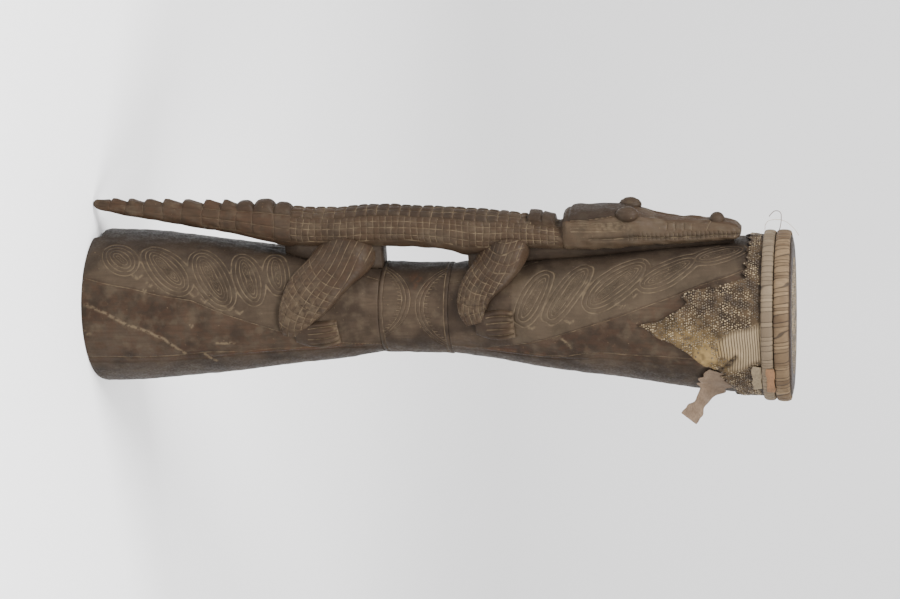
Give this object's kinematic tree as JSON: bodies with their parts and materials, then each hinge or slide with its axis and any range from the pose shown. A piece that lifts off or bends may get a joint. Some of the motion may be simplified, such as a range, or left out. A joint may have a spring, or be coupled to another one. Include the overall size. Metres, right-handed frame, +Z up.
{
  "type": "kundu drum",
  "caption": "Hourglass hand drum carved from one log, with a crocodile standing off one side as its handle and a lizard-skin head bound on by two hoops.",
  "frame": {"origin": "centre of the bounding box, on the floor that the open foot stands on", "axes": "+Z up along the log, the crocodile on the -X side with its head up"},
  "size_m": [0.2086, 0.158, 0.6604],
  "materials": {
    "aged_wood": "dark smoked hardwood, hand carved, worn, with lime in the cut lines",
    "lizard_skin": "dried lizard skin with pale bead scales on brown",
    "pale_binding": "pale plant strips wound round a hoop",
    "tan_binding": "tan plant strips wound round a hoop",
    "strip_end": "frayed end of a pale strip",
    "dark_wire": "thin dark rusted wire",
    "plant_fibre": "dry stiff fibre"
  },
  "bodies": {
    "root": {"drum_body": "aged_wood", "drumhead_skin": "lizard_skin", "lower_rim_ring": "pale_binding", "upper_rim_ring": "tan_binding", "wrap_tab": "strip_end", "wire_hook": "dark_wire", "loose_strand": "plant_fibre"}
  },
  "joints": []
}
